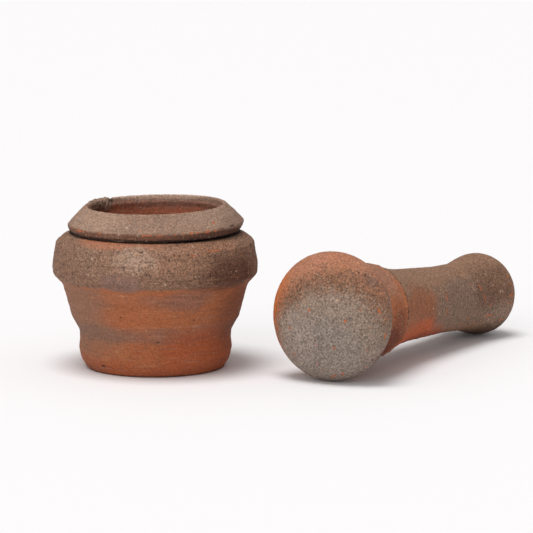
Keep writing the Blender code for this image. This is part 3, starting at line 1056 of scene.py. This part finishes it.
def dressed_head(lie: Matrix) -> PestleHead:
    """The pestle's head: grey worn dome, orange top and edge."""
    kiln_and_light_patches = (
        KilnAndLightPatch((0.6, 0.15, 0.028), (6, 30, -3), (28, 13, 14), 0.8, 0.4, 0.95),
        KilnAndLightPatch((0.17, 0.086, 0.049), (6, -6.5, 0), (29.5, 31.5, EVERYWHERE), 0.36, 0.2, 0.85, 0.35, 1.1),
        KilnAndLightPatch((0.255, 0.182, 0.138), (10.6, -6.5, 0), (24, 28, EVERYWHERE), 0.4, 0.2, 1, 0.35, 0.85),
        KilnAndLightPatch((0.235, 0.19, 0.16), (18, -2, 0), (20, 24, EVERYWHERE), 0.7, 0.3, 0.8),
        KilnAndLightPatch((0.305, 0.24, 0.198), (10, 14, -13), (13, 11, EVERYWHERE), 0.9, 0.5, 0.6),
        KilnAndLightPatch((0.14, 0.085, 0.068), (-19.5, -22.5, -3.6), (3.4, 4, 3.6), 1, 1, 0.65, 0.5),
        girdle((0.39, 0.116, 0.039), 22, 16.2, 0.04, 0.02, 1, 0.03, 0.75),
        KilnAndLightPatch((0.3, 0.16, 0.105), (-22, -8, 21), (17, 26, 15), 1, 1, 0.7),
        KilnAndLightPatch((0.185, 0.05, 0.018), (6, -24, 24), (13, 11, 10), 0.9, 0.6, 0.8, 0.4),
        # dark red-brown lower part of the ring, toward the floor: partly darker clay, partly painted shadow
        KilnAndLightPatch((0.105, 0.015, 0.003), (16, -20, 17), (11.5, 11, 16), 0.8, 0.5, 0.9, 0.3),
        girdle((0.045, 0.028, 0.021), 35.4, 1, 0.5, 0.3, 0.95, 0.9),
    )
    finish = ClayFinish(
        name="head_clay", body=(0.4, 0.175, 0.104), drift=(0.39, 0.155, 0.082), dust=(0.46, 0.34, 0.245),
        ash=(0.13, 0.09, 0.068), coarse=0.6, streak=0.3, streak_size=(7, 0.7), spread=1,
        speckle=1, pepper=0.7, embers=0.35, kiln_and_light_patches=kiln_and_light_patches)
    chips = (
        (135, 5.4, -15.4, 0.9, 0.8), (-101, 29, -5.6, 1.7, 0.5), (-77, 30.6, -1.5, 2, 0.5),
        (-90, 14.9, -13.8, 0.8, 0.6), (-34, 16.6, -13.2, 0.9, 0.6), (37, 23.2, -10.4, 0.9, 0.5),
        (-12, 28.6, -6.2, 3.6, 0.45), (-22, 28.4, -6, 1.8, 0.5), (-43, 30.4, -2.5, 0.8, 0.5),
        (68, 16.3, -13.4, 0.9, 0.6), (-104, 22, -10.8, 0.6, 0.5), (-60, 27.8, -7, 0.7, 0.5),
        (150, 30.6, -1.6, 1.6, 0.5), (95, 30.4, -2, 1.2, 0.5),
    )
    marks = [CHIP.at(angle, radius, height, (length, width), 0.22, 0.9, 0.5, 0.2)
             for angle, radius, height, length, width in chips]
    marks += [
        Mark(SCAR, (-9.5, -10.3, -14), (0.75, 0.6), -0.2, (0, 1, 0), 1),
        Mark(SCAR, (-9.8, -7.6, -14.3), (0.8, 0.4), -0.1, (0, 1, 0), 0.7, 0.6),
        Mark(SCAR, (-17.3, 14, -10.9), (0.5, 0.4), -0.2, (1, 0, 0), 0.9),
        Mark(SCAR, (2, 14.5, -13.6), (0.8, 0.5), -0.1, (0, 1, 0), 0.5, 0.6),
        Mark(PIT, (18.8, -24.4, -2.1), (1, 0.6), 0.5, (0, 1, 0), 0.9),
        Mark(PIT, (-22, -20.5, -5.5), (0.7, 0.5), 0.3, (0, 1, 0), 0.8),
    ]
    draw = random.Random("seam")
    marks += [
        Mark(PIT, around(angle + draw.uniform(-2, 2), 23.1, draw.uniform(34.3, 34.9)),
             (draw.uniform(0.45, 1.1), draw.uniform(0.3, 0.5)), draw.uniform(-0.28, 0.1),
             tangent(angle), 0.9, 0.6)
        for angle in range(0, 360, 5)
    ]
    return PestleHead(name="pestle_head_clay", node="pestle_head", body="pestle", slot="fired_grey_clay",
                      throwing=Throwing(0.15, 0.05, 2.2, 0.085, 5.3), marks=marks, finish=finish,
                      lie=lie, facets=400, grog=260)


def dressed_handle(lie: Matrix) -> PestleHandle:
    """The pestle's handle: brown shaft with an orange kiln patch, a grey knob and painted shade under the
    knob.
    """
    kiln_and_light_patches = (
        KilnAndLightPatch((0.285, 0.094, 0.039), (8, -14, 52), (19, 19, 29), 0.5, 0.4, 0.9, 0.25, 0.55),
        KilnAndLightPatch((0.42, 0.086, 0.024), (16, -10, 58), (13, 14, 44), 0.5, 0.3, 0.9, 0.25, 0.45),
        KilnAndLightPatch((0.25, 0.05, 0.016), (18, -6, 76), (6.5, 11, 32), 0.8, 0.4, 0.8, 0.2, 0.45),
        KilnAndLightPatch((0.2, 0.122, 0.084), (2, -18, 106), (15, 14, 33), 0.4, 0.4, 0.9, 0.3, 0.9),
        KilnAndLightPatch((0.15, 0.075, 0.045), (-6, -16, 138), (12, 15, 18), 0.8, 0.6, 0.8, 0.3, 1),
        KilnAndLightPatch((0.23, 0.155, 0.114), (10, -18, 148), (8, 14, 16), 0.8, 0.5, 0.7, 0.3, 1),
        girdle((0.075, 0.044, 0.03), 35.3, 1.1, 0.5, 0.4, 0.8, 0.5),
        KilnAndLightPatch((0.33, 0.17, 0.11), (10, -18, 37.9), (14, 9, 1.6), 0.7, 0.5, 0.7, 0.3),
        # painted shade: dark underside of the knob, where it faces the floor
        KilnAndLightPatch((0.05, 0.026, 0.017), (23, 0, 150), (10.5, 26, 18), 1, 0.4, 0.8),
    )
    finish = ClayFinish(
        name="handle_clay", body=(0.248, 0.132, 0.079), drift=(0.255, 0.139, 0.085), dust=(0.4, 0.29, 0.21),
        ash=(0.1, 0.055, 0.036), coarse=0.85, streak=0.45, streak_size=(16, 0.9), spread=0.5,
        speckle=0.6, kiln_and_light_patches=kiln_and_light_patches)
    chips = (
        (-104, 17.4, 86.3, 0.5, 3.4, 1), (-81, 17.4, 86.3, 0.5, 2.6, 1), (-111, 17, 124.5, 0.6, 2.2, 1),
        (-92, 17.3, 128, 0.4, 3, 0.9), (-46, 16.8, 112, 2.6, 0.5, 0.9), (-60, 16.8, 115, 2.8, 0.4, 0.9),
        (-61, 18.2, 136, 3, 0.5, 1), (-54, 20.4, 148, 2, 0.6, 1), (-78, 17.9, 134.4, 0.7, 0.7, 1),
        (-120, 20.7, 150.5, 2.2, 0.4, 1), (-108, 20.8, 151, 1.6, 0.4, 0.9), (-92, 20.8, 151, 2, 0.5, 1),
        (-80, 20.7, 150, 1.2, 0.5, 1), (-40, 16.9, 104, 1, 0.5, 0.8), (60, 17.3, 90, 0.5, 3, 0.9),
        (110, 17.5, 128, 2.4, 0.5, 0.9), (150, 20.6, 148, 2, 0.5, 0.9),
    )
    marks = [Mark(CHIP, around(angle, radius, height),
                  (max(length, width), min(length, width)), 0.22,
                  tangent(angle, 0.35) if width > length else (0, -0.3, 1), tint, 0.5)
             for angle, radius, height, length, width, tint in chips]
    marks += [
        SCAR.at(-112, 16.9, 117.5, (1.5, 0.7), -0.1, 0.5, 0.6),
        SCAR.at(-100, 19.6, 143, (1, 0.5), -0.1, 0.6, 0.6),
    ]
    return PestleHandle(name="pestle_handle_clay", node="pestle_handle", body="pestle",
                        slot="fired_umber_clay", throwing=Throwing(0.15, 0.08, 1.7, 0.08, 2.4),
                        marks=marks, finish=finish, lie=lie, facets=300, grog=220)


# ---- studio
@dataclass(frozen=True)
class Lamp:
    """One broad light far away.

    Attributes:
        name: its name.
        direction: where it is, as seen from the pieces.
        energy: its strength.
        spread: how wide it looks, in degrees.
    """

    name: str
    direction: Place
    energy: float
    spread: float

    def hang(self) -> None:
        """Adds the light to the scene."""
        light = bpy.data.lights.new(self.name, "SUN")
        light.energy = self.energy
        light.angle = math.radians(self.spread)
        lamp = bpy.data.objects.new(self.name, light)
        lamp.rotation_euler = Vector(self.direction).to_track_quat("Z", "Y").to_euler()
        bpy.context.scene.collection.objects.link(lamp)


@dataclass(frozen=True)
class Studio:
    """Pale floor, soft light and the camera.

    Attributes:
        camera_place: the camera, in metres.
        camera_drop: how far it looks below the horizon, in degrees.
        lens: its focal length, in millimetres.
        floor_size: width of the floor, in metres.
        floor_colour: the floor's colour.
        air: strength of the light from all round.
        lamps: the lights.
    """

    camera_place: Place = (0.05427, -1.700, 0.31032)
    camera_drop: float = 8.749
    lens: float = 238.28
    floor_size: float = 60.0
    floor_colour: Colour = (0.90, 0.885, 0.89)
    air: float = 0.44
    lamps: tuple[Lamp, ...] = (
        Lamp("key", (-0.12, -0.14, 1.00), 1.92, 32.0),
        Lamp("fill", (-0.40, -0.86, 0.30), 0.90, 60.0),
    )

    def build(self) -> None:
        """Makes the floor, the lights and the camera."""
        self.floor()
        self.lights()
        self.camera()
        bpy.context.scene.view_settings.view_transform = "Standard"

    def floor(self) -> None:
        """A wide pale sheet under everything."""
        shape = bmesh.new()
        bmesh.ops.create_grid(shape, x_segments=1, y_segments=1, size=self.floor_size / 2.0)
        mesh = bpy.data.meshes.new("floor")
        shape.to_mesh(mesh)
        shape.free()
        material = bpy.data.materials.new("studio_paper")
        material.use_nodes = True
        shader = material.node_tree.nodes["Principled BSDF"]
        shader.inputs["Base Color"].default_value = (*self.floor_colour, 1.0)
        shader.inputs["Roughness"].default_value = 0.7
        shader.inputs["Specular IOR Level"].default_value = 0.2
        mesh.materials.append(material)
        sheet = bpy.data.objects.new("floor", mesh)
        sheet.location = (0.0, 0.0, -0.0002)
        bpy.context.scene.collection.objects.link(sheet)

    def lights(self) -> None:
        """A broad key from above, a wide fill from the front and a soft surround."""
        world = bpy.data.worlds.new("studio_air")
        bpy.context.scene.world = world
        world.use_nodes = True
        air = world.node_tree.nodes["Background"]
        air.inputs["Color"].default_value = (1.0, 1.0, 1.0, 1.0)
        air.inputs["Strength"].default_value = self.air
        for lamp in self.lamps:
            lamp.hang()

    def camera(self) -> None:
        """A long lens, a little above the rim."""
        eye = bpy.data.cameras.new("camera")
        eye.lens = self.lens
        eye.sensor_width = 36.0
        eye.clip_start = 0.05
        eye.clip_end = 100.0
        stand = bpy.data.objects.new("camera", eye)
        stand.location = self.camera_place
        stand.rotation_euler = (math.radians(90.0 - self.camera_drop), 0.0, 0.0)
        bpy.context.scene.collection.objects.link(stand)
        bpy.context.scene.camera = stand


def main() -> None:
    """Builds every piece and the studio."""
    logging.basicConfig(level=logging.INFO, format="%(name)s: %(message)s")
    lie = PestleLie().matrix()
    for piece in (dressed_mortar(), dressed_collar(), dressed_head(lie), dressed_handle(lie)):
        piece.make()
    Studio().build()


if __name__ == "__main__":
    main()
